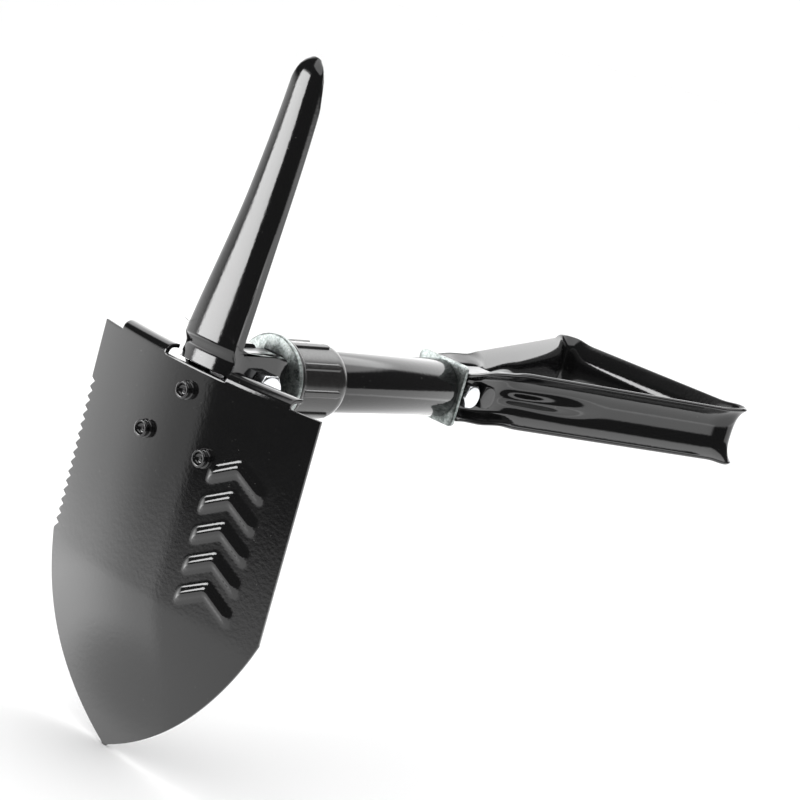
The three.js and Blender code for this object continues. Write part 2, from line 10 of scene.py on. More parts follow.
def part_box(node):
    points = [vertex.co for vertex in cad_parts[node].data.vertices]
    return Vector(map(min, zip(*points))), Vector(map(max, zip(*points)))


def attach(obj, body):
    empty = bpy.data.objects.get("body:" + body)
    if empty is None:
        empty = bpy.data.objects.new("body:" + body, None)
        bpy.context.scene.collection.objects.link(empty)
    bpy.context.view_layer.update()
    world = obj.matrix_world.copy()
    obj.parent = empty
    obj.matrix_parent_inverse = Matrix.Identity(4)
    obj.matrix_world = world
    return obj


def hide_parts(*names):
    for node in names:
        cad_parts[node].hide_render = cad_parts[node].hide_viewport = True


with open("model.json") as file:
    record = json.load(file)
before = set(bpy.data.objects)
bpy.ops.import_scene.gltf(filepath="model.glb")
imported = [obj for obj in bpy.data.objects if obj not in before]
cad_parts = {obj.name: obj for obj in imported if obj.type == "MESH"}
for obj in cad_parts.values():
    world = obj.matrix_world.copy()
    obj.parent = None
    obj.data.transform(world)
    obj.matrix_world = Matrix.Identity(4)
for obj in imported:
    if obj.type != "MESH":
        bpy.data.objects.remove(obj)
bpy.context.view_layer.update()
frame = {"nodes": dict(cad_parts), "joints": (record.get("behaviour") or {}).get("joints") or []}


# ---- Camera -------------------------------------------------------------------------------
# A long lens, a little above the tube's level and off the saw-free side of the blade, rolled
# so that the tube lies nearly level.
hinge = Vector(frame["joints"][0]["pos_m"])
azimuth = math.radians(38.6)
elevation = math.radians(11.1)
roll = math.radians(16.0)
back = Vector((math.sin(azimuth) * math.cos(elevation),
               -math.cos(azimuth) * math.cos(elevation),
               math.sin(elevation)))
level_right = Vector((math.cos(azimuth), math.sin(azimuth), 0))
level_up = back.cross(level_right)
right = level_right * math.cos(roll) + level_up * math.sin(roll)
up = back.cross(right)
look_at = hinge + Vector((0.0187, 0.0805, -0.0008))
view_distance = 0.8873

camera_data = bpy.data.cameras.new("camera")
camera_data.lens = 94.9
camera_data.sensor_width = 36
camera = bpy.data.objects.new("camera", camera_data)
place = Matrix((right, up, back)).transposed().to_4x4()
place.translation = look_at + back * view_distance
camera.matrix_world = place
bpy.context.scene.collection.objects.link(camera)
bpy.context.scene.camera = camera


# ---- Floor --------------------------------------------------------------------------------
# A wide sheet of pale matt board under the blade's point. It lights the shovel from below,
# but its own reflection is left to the studio's light cards.
def no_selection():
    if bpy.context.object and bpy.context.object.mode != "OBJECT":
        bpy.ops.object.mode_set(mode="OBJECT")
    bpy.ops.object.select_all(action="DESELECT")


floor_size = 30

no_selection()
bpy.ops.mesh.primitive_plane_add(size=floor_size, location=(0, 0, 0))
floor = bpy.context.object
floor.name = "floor"
board = bpy.data.materials.new("pale_board")
board.use_nodes = True
board_shader = board.node_tree.nodes["Principled BSDF"]
board_shader.inputs["Base Color"].default_value = (0.94, 0.94, 0.94, 1)
board_shader.inputs["Roughness"].default_value = 0.9
board_shader.inputs["Specular IOR Level"].default_value = 0.1
floor.data.materials.append(board)
floor.visible_glossy = False


# ---- Studio light -------------------------------------------------------------------------
# A white tent all round gives the soft light. In reflections the tent has its parts: a white
# table below, a broad card on the left, a narrow bright softbox beside it, a long softbox
# behind the shovel, a card overhead, and dark cloth between them.
tent = bpy.data.worlds.new("studio_tent")
bpy.context.scene.world = tent
tent.use_nodes = True
tent_nodes = tent.node_tree.nodes
tent_links = tent.node_tree.links
tent_nodes.clear()


def tent_math(operation, *values):
    node = tent_nodes.new("ShaderNodeMath")
    node.operation = operation
    for socket, value in zip(node.inputs, values):
        if isinstance(value, (int, float)):
            socket.default_value = value
        else:
            tent_links.new(value, socket)
    return node.outputs[0]


def soft_step(value, start, end):
    node = tent_nodes.new("ShaderNodeMapRange")
    node.interpolation_type = "SMOOTHSTEP"
    tent_links.new(value, node.inputs["Value"])
    node.inputs["From Min"].default_value = start
    node.inputs["From Max"].default_value = end
    return node.outputs["Result"]


def window(value, low, high, edge):
    """One between low and high, fading to nothing over the edge's width."""
    rising = soft_step(value, low - edge, low)
    falling = soft_step(value, high + edge, high)
    return tent_math("MULTIPLY", rising, falling)


def card(brightness, *windows):
    """A light card that fills the directions that all its windows let through."""
    share = windows[0]
    for next_window in windows[1:]:
        share = tent_math("MULTIPLY", share, next_window)
    return tent_math("MULTIPLY", share, brightness)


ray = tent_nodes.new("ShaderNodeTexCoord")
split = tent_nodes.new("ShaderNodeSeparateXYZ")
tent_links.new(ray.outputs["Generated"], split.inputs[0])
ray_x, ray_y, ray_z = split.outputs
ray_turn = tent_math("ARCTAN2", tent_math("MULTIPLY", ray_x, -1),
                     tent_math("MULTIPLY", ray_y, -1))
table = card(1.7, window(ray_z, -2.0, -0.34, 0.09))
far_table = card(1.9, window(ray_z, -0.3, -0.06, 0.06), window(ray_y, 0.15, 2, 0.2))
left_card = card(0.9, window(ray_turn, 0.70, 2.3, 0.05), window(ray_z, -0.42, 0.0, 0.08))
left_card_end = card(1.3, window(ray_turn, 1.1, 2.3, 0.35), window(ray_z, -0.42, 0.1, 0.08))
narrow_softbox = card(13.0, window(ray_turn, 0.5, 0.85, 0.07), window(ray_z, 0.0, 0.3, 0.05))
long_softbox = card(2.6, window(ray_x, -0.9, 0.05, 0.12), window(ray_y, 0.1, 2, 0.2),
                    window(ray_z, 0.08, 0.8, 0.06))
overhead_card = card(2.4, window(ray_x, -0.4, 0.75, 0.12), window(ray_z, 0.66, 2.0, 0.08))
dark_cloth = 0.07
room_brightness = 1.04

reflected = dark_cloth
for light_card in (table, far_table, left_card, left_card_end, narrow_softbox, long_softbox,
                   overhead_card):
    reflected = tent_math("ADD", reflected, light_card)
path = tent_nodes.new("ShaderNodeLightPath")
off_floor = tent_math("LESS_THAN", path.outputs["Diffuse Depth"], 0.5)
mirrored = tent_math("MULTIPLY", path.outputs["Is Glossy Ray"], off_floor)
in_reflection = tent_math("MULTIPLY", reflected, mirrored)
elsewhere = tent_math("SUBTRACT", 1.0, mirrored)
glow = tent_math("ADD", in_reflection, tent_math("MULTIPLY", elsewhere, room_brightness))
background = tent_nodes.new("ShaderNodeBackground")
background.inputs["Color"].default_value = (1, 1, 1, 1)
tent_links.new(glow, background.inputs["Strength"])
world_output = tent_nodes.new("ShaderNodeOutputWorld")
tent_links.new(background.outputs[0], world_output.inputs["Surface"])

lamp_data = bpy.data.lights.new("overhead_softbox", "AREA")
lamp_data.shape = "RECTANGLE"
lamp_data.size = 1.4
lamp_data.size_y = 0.9
lamp_data.energy = 9
lamp = bpy.data.objects.new("overhead_softbox", lamp_data)
lamp.location = hinge + Vector((-0.5, 0.1, 1.5))
lamp.rotation_euler = (lamp.location - hinge).to_track_quat("Z", "Y").to_euler()
lamp.visible_glossy = False
bpy.context.scene.collection.objects.link(lamp)
bpy.context.scene.view_settings.view_transform = "Standard"


# ---- Blade --------------------------------------------------------------------------------
# One pressing of 1.8 mm steel, bowed across its width, sheared to a pointed arch with saw
# teeth along one edge, turned over at the top into two foot lips and raised into a ladder of
# chevron ribs that stiffens it. It is powder coated gloss black all over.
def settle(piece):
    """Millimetres round the hinge become metres in the shovel's own place."""
    no_selection()
    piece.select_set(True)
    bpy.context.view_layer.objects.active = piece
    piece.scale = (0.001, 0.001, 0.001)
    piece.location = hinge
    bpy.ops.object.transform_apply(location=True, rotation=True, scale=True)


def finish_edges(piece, width, segments=2, angle=40):
    bevel = piece.modifiers.new("edge", "BEVEL")
    bevel.width = width
    bevel.segments = segments
    bevel.limit_method = "ANGLE"
    bevel.angle_limit = math.radians(angle)
    bevel.use_clamp_overlap = False


def apply_modifiers(piece):
    no_selection()
    piece.select_set(True)
    bpy.context.view_layer.objects.active = piece
    for modifier in list(piece.modifiers):
        bpy.ops.object.modifier_apply(modifier=modifier.name)


def round_shading(piece, angle=35):
    no_selection()
    piece.select_set(True)
    bpy.context.view_layer.objects.active = piece
    bpy.ops.object.shade_smooth_by_angle(angle=math.radians(angle))


def smooth_share(value, start, end):
    share = min(max((value - start) / (end - start), 0), 1)
    return share * share * (3 - 2 * share)


def new_material(name):
    material = bpy.data.materials.new(name)
    material.use_nodes = True
    nodes = material.node_tree.nodes
    return material, nodes, material.node_tree.links, nodes["Principled BSDF"]


def noise(nodes, links, source, scale, detail=3, roughness=0.5):
    texture = nodes.new("ShaderNodeTexNoise")
    texture.inputs["Scale"].default_value = scale
    texture.inputs["Detail"].default_value = detail
    texture.inputs["Roughness"].default_value = roughness
    links.new(source, texture.inputs["Vector"])
    return texture.outputs["Fac"]


def ramp(nodes, links, source, low, high, low_value, high_value):
    remap = nodes.new("ShaderNodeMapRange")
    links.new(source, remap.inputs["Value"])
    for name, value in (("From Min", low), ("From Max", high),
                        ("To Min", low_value), ("To Max", high_value)):
        remap.inputs[name].default_value = value
    return remap.outputs["Result"]


def mixed(nodes, links, share, first, second):
    mix = nodes.new("ShaderNodeMix")
    mix.data_type = "RGBA"
    links.new(share, mix.inputs["Factor"])
    mix.inputs["A"].default_value = first
    if isinstance(second, tuple):
        mix.inputs["B"].default_value = second
    else:
        links.new(second, mix.inputs["B"])
    return mix.outputs["Result"]


def black_powder_coat():
    """Gloss powder coat: a soft orange peel, fine dust set in the film, a little haze."""
    material, nodes, links, shader = new_material("gloss_black_powder_coat")
    where = nodes.new("ShaderNodeTexCoord").outputs["Object"]
    dust = noise(nodes, links, where, 900, 2, 0.6)
    specks = ramp(nodes, links, dust, 0.75, 0.78, 0, 1)
    links.new(mixed(nodes, links, specks, (0.006, 0.006, 0.0062, 1), (0.16, 0.16, 0.15, 1)),
              shader.inputs["Base Color"])
    haze = noise(nodes, links, where, 60, 4, 0.6)
    links.new(ramp(nodes, links, haze, 0.3, 0.75, 0.07, 0.12), shader.inputs["Roughness"])
    peel = noise(nodes, links, where, 620, 2, 0.45)
    grit = noise(nodes, links, where, 1500, 1, 0.5)
    height = nodes.new("ShaderNodeMath")
    height.operation = "MULTIPLY_ADD"
    links.new(grit, height.inputs[0])
    height.inputs[1].default_value = 0.18
    links.new(peel, height.inputs[2])
    bump = nodes.new("ShaderNodeBump")
    bump.inputs["Strength"].default_value = 0.10
    bump.inputs["Distance"].default_value = 0.0002
    links.new(height.outputs[0], bump.inputs["Height"])
    links.new(bump.outputs[0], shader.inputs["Normal"])
    shader.inputs["IOR"].default_value = 1.5
    return material


powder_coat = black_powder_coat()

blade_half = 63.0
side_end = -88.0
blade_tip = -157.9
blade_top = 3.2
blade_thick = 1.8
edge_plane = -16.8
bow = 8.2
tip_bow = 2.6
tooth_depth = 3.0
tooth_reach = 9.0
tooth_rows = 4
teeth = 16
saw_start = -21.8
point_sagitta = 10.0
narrowest_half = 1.2

chord = Vector((-blade_half, blade_tip - side_end))
point_radius = ((chord.length / 2) ** 2 + point_sagitta ** 2) / (2 * point_sagitta)
inward = Vector((chord.y, -chord.x)).normalized()
point_centre = (Vector((blade_half, side_end)) + chord / 2
                + inward * (point_radius - point_sagitta))


def blade_face(x, z):
    """Depth of the bowed front face, before the chevrons are raised."""
    fade = smooth_share(-z, -side_end, -blade_tip)
    local_bow = bow + (tip_bow - bow) * fade
    return edge_plane - local_bow * (1 - (x / blade_half) ** 2)


def blade_half_width(z):
    if z >= side_end:
        return blade_half
    reach = math.sqrt(max(point_radius ** 2 - (z - point_centre.y) ** 2, 0))
    return max(point_centre.x + reach, narrowest_half)


chevrons = 5
chevron_x = 35.0
chevron_top = -26.0
chevron_pitch = 12.5
chevron_slope = 0.55
chevron_rise = 1.3


def chevron_height(x, z):
    """Raised chevrons, one above the other, with rounded flanks."""
    across = abs(x - chevron_x)
    side = 1 - smooth_share(across, 11.0, 13.5)
    tallest = 0
    for rib in range(chevrons):
        peak = chevron_top - chevron_pitch * rib
        distance = abs(z - peak + chevron_slope * across)
        tallest = max(tallest, side * (1 - smooth_share(distance, 1.0, 3.2)))
    return chevron_rise * tallest


point_rows = 66
saw_rows = teeth * tooth_rows
top_rows = 24
columns = 124
edge_column = 0.7
rows = [blade_tip + (side_end - blade_tip) * step / point_rows for step in range(point_rows + 1)]
rows += [side_end + (saw_start - side_end) * step / saw_rows for step in range(1, saw_rows + 1)]
rows += [saw_start + (blade_top - saw_start) * step / top_rows for step in range(1, top_rows + 1)]

no_selection()
bpy.ops.mesh.primitive_grid_add(x_subdivisions=columns, y_subdivisions=len(rows) - 1, size=2)
blade = bpy.context.object
blade.name = "blade_pressing"
for vertex in blade.data.vertices:
    column = round((vertex.co.x + 1) / 2 * columns)
    row = round((vertex.co.y + 1) / 2 * (len(rows) - 1))
    z = rows[row]
    half = blade_half_width(z)
    if column in (0, columns):
        x = half if column else -half
    else:
        x = (half - edge_column) * (2 * (column - 1) / (columns - 2) - 1)
    saw_row = row - point_rows
    if 0 <= saw_row < saw_rows:
        depth = tooth_depth * ((saw_row % tooth_rows) / (tooth_rows - 1))
        x += depth * max(0, 1 - (x + half) / tooth_reach)
    vertex.co = (x, blade_face(x, z) - chevron_height(x, z), z)

lip_inner = 17.0
lip_outer = 50.0
lip_radius = 4.0
lip_flat = 1.6
lip_end = (0, 1.4, -0.15)
bend_steps = 6

bpy.ops.object.mode_set(mode="EDIT")
bpy.ops.mesh.select_mode(type="EDGE")
bpy.ops.mesh.select_all(action="DESELECT")
mesh = bmesh.from_edit_mesh(blade.data)
for edge in mesh.edges:
    ends = [vertex.co for vertex in edge.verts]
    on_top = all(abs(end.z - blade_top) < 0.01 for end in ends)
    edge.select = on_top and all(lip_inner < abs(end.x) < lip_outer for end in ends)
bmesh.update_edit_mesh(blade.data)
for step in range(bend_steps):
    before = math.radians(90 * step / bend_steps)
    after = math.radians(90 * (step + 1) / bend_steps)
    move = (0, lip_radius * (math.cos(before) - math.cos(after)),
            lip_radius * (math.sin(after) - math.sin(before)))
    bpy.ops.mesh.extrude_region_move(TRANSFORM_OT_translate={"value": move})
bpy.ops.mesh.extrude_region_move(TRANSFORM_OT_translate={"value": (0, lip_flat, 0)})
bpy.ops.mesh.extrude_region_move(TRANSFORM_OT_translate={"value": lip_end})
bpy.ops.object.mode_set(mode="OBJECT")

sheet = blade.modifiers.new("sheet", "SOLIDIFY")
sheet.thickness = blade_thick
sheet.offset = -1
sheet.use_even_offset = True
finish_edges(blade, 0.4, 2, 50)
apply_modifiers(blade)
round_shading(blade)
settle(blade)
blade.data.materials.append(powder_coat)
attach(blade, "blade")
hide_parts("blade_plate")


# ---- Blade rivets -------------------------------------------------------------------------
# Three semi-tubular steel rivets hold the blade to its hidden bracket. Each is a stub that
# stands proud of the blade, with a rolled rim and a dished end, coated along with the blade.
def span(node):
    """A node's lowest and highest corners, in millimetres round the hinge."""
    return [(Vector(corner) - hinge) * 1000 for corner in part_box(node)]


def turned(name, sides, rings, ring_shaped=False):
    """A piece turned along Z from its rings, each a height and a radius."""
    no_selection()
    height, radius = rings[0]
    bpy.ops.mesh.primitive_circle_add(vertices=sides, radius=radius,
                                      fill_type="NOTHING" if ring_shaped else "NGON")
    piece = bpy.context.object
    piece.name = name
    bpy.ops.object.mode_set(mode="EDIT")
    bpy.ops.mesh.select_mode(type="EDGE" if ring_shaped else "FACE")
    bpy.ops.mesh.select_all(action="SELECT")
    bpy.ops.transform.translate(value=(0, 0, height))
    for next_height, next_radius in rings[1:]:
        rise = {"value": (0, 0, next_height - height)}
        bpy.ops.mesh.extrude_region_move(TRANSFORM_OT_translate=rise)
        share = next_radius / radius
        bpy.ops.transform.resize(value=(share, share, 1), center_override=(0, 0, 0))
        height, radius = next_height, next_radius
    bpy.ops.mesh.select_all(action="SELECT")
    bpy.ops.mesh.remove_doubles(threshold=0.0005)
    bpy.ops.mesh.normals_make_consistent(inside=False)
    bpy.ops.object.mode_set(mode="OBJECT")
    return piece


def lay(piece, turn, place):
    """Turn a piece drawn along Z onto its own axis and put it in its place."""
    no_selection()
    piece.select_set(True)
    bpy.context.view_layer.objects.active = piece
    piece.rotation_euler = turn
    piece.location = place
    bpy.ops.object.transform_apply(location=True, rotation=True, scale=True)


def finish_piece(piece, material, body, nodes):
    settle(piece)
    piece.data.materials.clear()
    piece.data.materials.append(material)
    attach(piece, body)
    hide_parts(*nodes)


to_front = (math.radians(90), 0, 0)
to_rear = (math.radians(-90), 0, 0)
to_side = (0, math.radians(90), 0)

rivet_sides = 40
rivet_rings = [(-1.2, 3.9), (0.5, 3.9), (0.8, 3.75), (0.95, 3.25), (1.9, 3.2), (2.15, 3.35),
               (2.4, 3.6), (2.8, 3.6), (3.1, 3.4), (3.2, 3.0), (3.05, 2.6), (2.2, 2.35),
               (1.7, 1.9), (1.5, 1.2), (1.65, 0.5)]
for rivet_node in ("blade_rivet_top", "blade_rivet_left", "blade_rivet_right"):
    low, high = span(rivet_node)
    rivet_x = (low.x + high.x) / 2
    rivet_z = (low.z + high.z) / 2
    rivet = turned(rivet_node + "_stub", rivet_sides, rivet_rings)
    lay(rivet, to_front, (rivet_x, blade_face(rivet_x, rivet_z), rivet_z))
    round_shading(rivet, 50)
    finish_piece(rivet, powder_coat, "blade", [rivet_node])


# ---- Pick ---------------------------------------------------------------------------------
# A channel pressed from 2.2 mm steel: a full, rounded spine in front, two flat walls running
# back from it, a thumb-shaped tip, and at the foot two square lugs for the hinge bolt. It
# leans back over the tube and is powder coated.
lean = math.radians(8)
pick_wall = 2.2
lug_flat = 12.6
lug_corner = 3.4
lug_face = span("pick")[1].x
fillet_radius = 3.0
fillet_middle = -11.2
fillet_start = -10.6
spine_foot = 1.0
shank_start = 15.5
taper_start = 13.0
tip_start = 116.0
pick_length = 128.0
rear_top = 117.0
tip_half = 7.6
wall_edge = -16.4
hook_reach = 2.2
spine_depth = 9.2
spine_taper = 2.0
foot_tuck = 2.5
foot_swell = 1.4
shoulder_drop = 1.4
crown_back = 1.3
crown_up = 1.0


def leaned(y, z):
    """A point of the upright pick, as (y, z), once the pick leans back."""
    return (y * math.cos(lean) + z * math.sin(lean), z * math.cos(lean) - y * math.sin(lean))


def arc(centre_y, centre_z, radius, start, end, steps):
    angles = [math.radians(start + (end - start) * step / steps) for step in range(steps + 1)]
    return [(centre_y + radius * math.cos(angle), centre_z + radius * math.sin(angle))
            for angle in angles]


def wall_half(z):
    """Half the pick's width between its walls' outer faces."""
    taper = max(0, (z - taper_start) / (pick_length - taper_start))
    return lug_face + (tip_half - lug_face) * taper


def hook(z):
    """How far the pick's line bends forward towards its tip."""
    share = (z - spine_foot) / (pick_length - spine_foot)
    return hook_reach * (2 * share - 1) ** 2 * smooth_share(share, 0.3, 1)


straight = lug_flat - lug_corner
lug_outline = [(-straight + 2 * straight * step / 5, -lug_flat) for step in range(5)]
lug_outline += arc(straight, -straight, lug_corner, -90, 0, 6)
lug_outline += [(lug_flat, -straight + 2 * straight * step / 5) for step in range(1, 5)]
lug_outline += arc(straight, straight, lug_corner, 0, 90, 6)
lug_outline += [(straight - (straight - fillet_start) * step / 5, lug_flat)
                for step in range(1, 5)]
lug_outline += arc(fillet_middle, lug_flat + fillet_radius, fillet_radius, -90, -172, 5)
lug_rows = len(lug_outline)
shank_rows = 46
tip_rows = 12
pick_rows = lug_rows + shank_rows + tip_rows
wall_columns = 5
spine_columns = 34
pick_columns = 2 * wall_columns + spine_columns


def pick_row(row):
    """Height of the spine, rear point of the wall and nearness to the end at one row."""
    if row < lug_rows:
        height = spine_foot + (shank_start - spine_foot) * row / (lug_rows - 1)
        return height, lug_outline[row], 0
    beyond = (row - lug_rows + 1) / (shank_rows + tip_rows)
    height = shank_start + (pick_length - shank_start) * beyond
    rear_height = shank_start + (rear_top - shank_start) * beyond
    end = max(0, (height - tip_start) / (pick_length - tip_start))
    return height, leaned(wall_edge - hook(rear_height), rear_height), end


no_selection()
bpy.ops.mesh.primitive_grid_add(x_subdivisions=pick_columns, y_subdivisions=pick_rows, size=2)
pick = bpy.context.object
pick.name = "pick_pressing"
for vertex in pick.data.vertices:
    column = round((vertex.co.x + 1) / 2 * pick_columns)
    row = round((vertex.co.y + 1) / 2 * pick_rows)
    height, rear, end = pick_row(min(row, pick_rows - 1))
    roundness = math.sqrt(1 - 0.97 * end * end)
    shoulder = shoulder_drop * end * end
    half = wall_half(height) * (0.3 + 0.7 * roundness)
    swell = foot_swell * (1 - smooth_share(height, 12, 75))
    tuck = foot_tuck * (1 - smooth_share(height, 6.5, 12))
    depth = spine_depth - spine_taper * smooth_share(height, 0, 70) - tuck
    spine_front = wall_edge - hook(height) - depth * (0.35 + 0.65 * roundness)
    nose = (0.32 * half + 0.8) * (0.5 + 0.5 * roundness)
    crease = leaned(spine_front + nose, height - shoulder)
    from_edge = min(column, pick_columns - column)
    side = -1 if column < pick_columns / 2 else 1
    if from_edge <= wall_columns:
        share = from_edge / wall_columns
        crown = math.sin(math.pi * share) * end * end
        y = rear[0] + (crease[0] - rear[0]) * share + crown_back * crown
        z = rear[1] + (crease[1] - rear[1]) * share + crown_up * crown
        vertex.co = (side * half, y, z)
    else:
        round_spine = math.pi / 2 * (from_edge - wall_columns) / (spine_columns / 2)
        wide = half + swell * smooth_share(round_spine, 0, 0.35)
        x = wide * math.cos(round_spine) ** 0.82
        bulge = nose * math.sin(round_spine) ** 0.9
        y, z = leaned(spine_front + nose - bulge,
                      height - shoulder * (1 - math.sin(round_spine)))
        vertex.co = (side * x, y, z)

channel = pick.modifiers.new("channel", "SOLIDIFY")
channel.thickness = pick_wall
channel.offset = -1
channel.use_even_offset = False
finish_edges(pick, 0.3, 2, 55)
apply_modifiers(pick)
# The lugs stay flat outside: points that the wall's thickness threw past them are pressed back.
lug_front = -17
for vertex in pick.data.vertices:
    if vertex.co.y > lug_front and abs(vertex.co.x) > lug_face:
        vertex.co.x = math.copysign(lug_face, vertex.co.x)
round_shading(pick, 40)
finish_piece(pick, powder_coat, "pick", ["pick"])


# ---- Hinge bolt and nut -------------------------------------------------------------------
# A zinc plated M8 hex bolt through the lugs, its nut on the far side. Both hexagons have their
# corners rounded off by a 30 degree chamfer, the head on its outer face, the nut on both.
def cut_with(piece, tool, operation):
    no_selection()
    piece.select_set(True)
    bpy.context.view_layer.objects.active = piece
    boolean = piece.modifiers.new("cut", "BOOLEAN")
    boolean.operation = operation
    boolean.solver = "EXACT"
    boolean.object = tool
    bpy.ops.object.modifier_apply(modifier=boolean.name)
    bpy.data.objects.remove(tool)


def hexagon(name, across, low, high, chamfer_low=False):
    """A hexagon along Z, its corners rounded by the chamfer at its high face, or at both."""
    corner = across / math.sqrt(3)
    face = across / 2 * 0.95
    slope = (corner - face) * math.tan(math.radians(30))
    piece = turned(name, 6, [(low, corner), (high, corner)])
    start = [(low, face), (low + slope, corner)] if chamfer_low else [(low, corner + 0.2)]
    rounding = turned("rounding", 60, start + [(high - slope, corner), (high, face)])
    cut_with(piece, rounding, "INTERSECT")
    finish_edges(piece, 0.16, 2, 25)
    apply_modifiers(piece)
    return piece


def threaded_end(name, radius, low, start, high):
    """A shank with rounded thread crests between start and high, and a chamfered end."""
    pitch = 0.25 * radius + 0.25
    rings = [(low, radius), (start, radius)]
    height = start
    while height + pitch < high - 0.4:
        rings += [(height + 0.15 * pitch, radius - 0.1), (height + 0.45 * pitch, radius - 0.5),
                  (height + 0.6 * pitch, radius - 0.5), (height + 0.9 * pitch, radius - 0.08)]
        height += pitch
    rings += [(high - 0.6, radius - 0.1), (high, radius - 0.7)]
    return turned(name, 32, rings)


def joined(name, *pieces):
    no_selection()
    for piece in pieces:
        piece.select_set(True)
    bpy.context.view_layer.objects.active = pieces[0]
    bpy.ops.object.join()
    pieces[0].name = name
    return pieces[0]


def bright_zinc_plate():
    """Bright zinc: pale, smooth metal, clouded by a light bloom."""
    material, nodes, links, shader = new_material("bright_zinc_plate")
    where = nodes.new("ShaderNodeTexCoord").outputs["Object"]
    bloom = noise(nodes, links, where, 350, 4, 0.6)
    links.new(mixed(nodes, links, bloom, (0.50, 0.51, 0.52, 1), (0.66, 0.67, 0.69, 1)),
              shader.inputs["Base Color"])
    links.new(ramp(nodes, links, bloom, 0.3, 0.7, 0.16, 0.30), shader.inputs["Roughness"])
    bump = nodes.new("ShaderNodeBump")
    bump.inputs["Strength"].default_value = 0.12
    bump.inputs["Distance"].default_value = 0.0001
    links.new(noise(nodes, links, where, 1400, 2, 0.5), bump.inputs["Height"])
    links.new(bump.outputs[0], shader.inputs["Normal"])
    shader.inputs["Metallic"].default_value = 1.0
    return material


bright_zinc = bright_zinc_plate()


def hex_bolt(name, node, across, shank, head, thread_from):
    """A bolt in its node's place: across flats, shank radius, head height, start of thread."""
    low, high = span(node)
    into_head = 0.2
    head_piece = hexagon(name, across, high.x - head, high.x)
    shank_piece = threaded_end("shank", shank, -high.x + head - into_head, thread_from, -low.x)
    lay(shank_piece, (0, math.radians(180), 0), (0, 0, 0))
    bolt = joined(name, head_piece, shank_piece)
    lay(bolt, to_side, (0, (low.y + high.y) / 2, 0))
    round_shading(bolt, 30)
    return bolt


def hex_nut(name, node, across, bore):
    low, high = span(node)
    nut = hexagon(name, across, low.x, high.x, True)
    hole = turned("hole", 32, [(low.x - 1, bore), (high.x + 1, bore)])
    cut_with(nut, hole, "DIFFERENCE")
    lay(nut, to_side, (0, (low.y + high.y) / 2, 0))
    round_shading(nut, 30)
    return nut


m8_across = 13
hinge_bolt = hex_bolt("hinge_bolt_m8", "hinge_bolt", m8_across, shank=4.0, head=5.3,
                      thread_from=12.0)
finish_piece(hinge_bolt, bright_zinc, "shaft", ["hinge_bolt"])
hinge_nut = hex_nut("hinge_nut_m8", "hinge_nut", m8_across, bore=4.1)
finish_piece(hinge_nut, bright_zinc, "shaft", ["hinge_nut"])


# ---- Lock washer --------------------------------------------------------------------------
# A thick galvanised steel washer, slotted for the flat tongue. The collar pushes it against
# the flats of the lugs. It is stamped from sheet, which rounds its rim.
def galvanised_zinc():
    """Hot-dip zinc: a fine, cloudy mottle of dull and bright grey grains."""
    material, nodes, links, shader = new_material("mottled_galvanised_zinc")
    where = nodes.new("ShaderNodeTexCoord").outputs["Object"]
    grain = noise(nodes, links, where, 900, 5, 0.75)
    cloud = noise(nodes, links, where, 180, 3, 0.6)
    tone = nodes.new("ShaderNodeMath")
    tone.operation = "MULTIPLY_ADD"
    links.new(cloud, tone.inputs[0])
    tone.inputs[1].default_value = 0.6
    links.new(grain, tone.inputs[2])
    share = ramp(nodes, links, tone.outputs[0], 0.66, 0.94, 0, 1)
    links.new(mixed(nodes, links, share, (0.10, 0.115, 0.11, 1), (0.40, 0.43, 0.42, 1)),
              shader.inputs["Base Color"])
    links.new(ramp(nodes, links, grain, 0.3, 0.7, 0.34, 0.52), shader.inputs["Roughness"])
    bump = nodes.new("ShaderNodeBump")
    bump.inputs["Strength"].default_value = 0.25
    bump.inputs["Distance"].default_value = 0.0001
    links.new(grain, bump.inputs["Height"])
    links.new(bump.outputs[0], shader.inputs["Normal"])
    shader.inputs["Metallic"].default_value = 0.9
    return material


galvanised = galvanised_zinc()

washer_low, washer_high = span("lock_washer")
washer_thick = washer_high.y - washer_low.y
washer_rim = washer_high.x
washer_slot = (10.8, 22.8, 20)
washer = turned("lock_washer_plate", 96, [
    (0, washer_rim - 0.9), (0.12, washer_rim - 0.45), (0.45, washer_rim - 0.1),
    (0.8, washer_rim), (washer_thick - 0.8, washer_rim), (washer_thick - 0.45, washer_rim - 0.1),
    (washer_thick - 0.12, washer_rim - 0.45), (washer_thick, washer_rim - 0.9)])
no_selection()
bpy.ops.mesh.primitive_cube_add(size=1, location=(0, 0, 0), scale=washer_slot)
cut_with(washer, bpy.context.object, "DIFFERENCE")
finish_edges(washer, 0.25, 2, 60)
apply_modifiers(washer)
lay(washer, to_rear, (0, washer_low.y, 0))
round_shading(washer, 40)
finish_piece(washer, galvanised, "washer", ["lock_washer"])


# ---- Lock collar --------------------------------------------------------------------------
# A black nylon nut, moulded in one piece, that runs on the tube: a flange behind the washer,
# and nine raised grip ribs that stop short of its rounded rear shoulder. Its bore is left plain.
def moulded_black():
    """Black moulding: even semi-gloss with a faint skin texture."""
    material, nodes, links, shader = new_material("moulded_black_nylon")
    where = nodes.new("ShaderNodeTexCoord").outputs["Object"]
    skin = noise(nodes, links, where, 700, 3, 0.55)
    links.new(mixed(nodes, links, skin, (0.010, 0.010, 0.010, 1), (0.020, 0.0195, 0.019, 1)),
              shader.inputs["Base Color"])
    links.new(ramp(nodes, links, skin, 0.3, 0.7, 0.17, 0.27), shader.inputs["Roughness"])
    bump = nodes.new("ShaderNodeBump")
    bump.inputs["Strength"].default_value = 0.08
    bump.inputs["Distance"].default_value = 0.0001
    links.new(skin, bump.inputs["Height"])
    links.new(bump.outputs[0], shader.inputs["Normal"])
    shader.inputs["IOR"].default_value = 1.5
    return material


moulded = moulded_black()

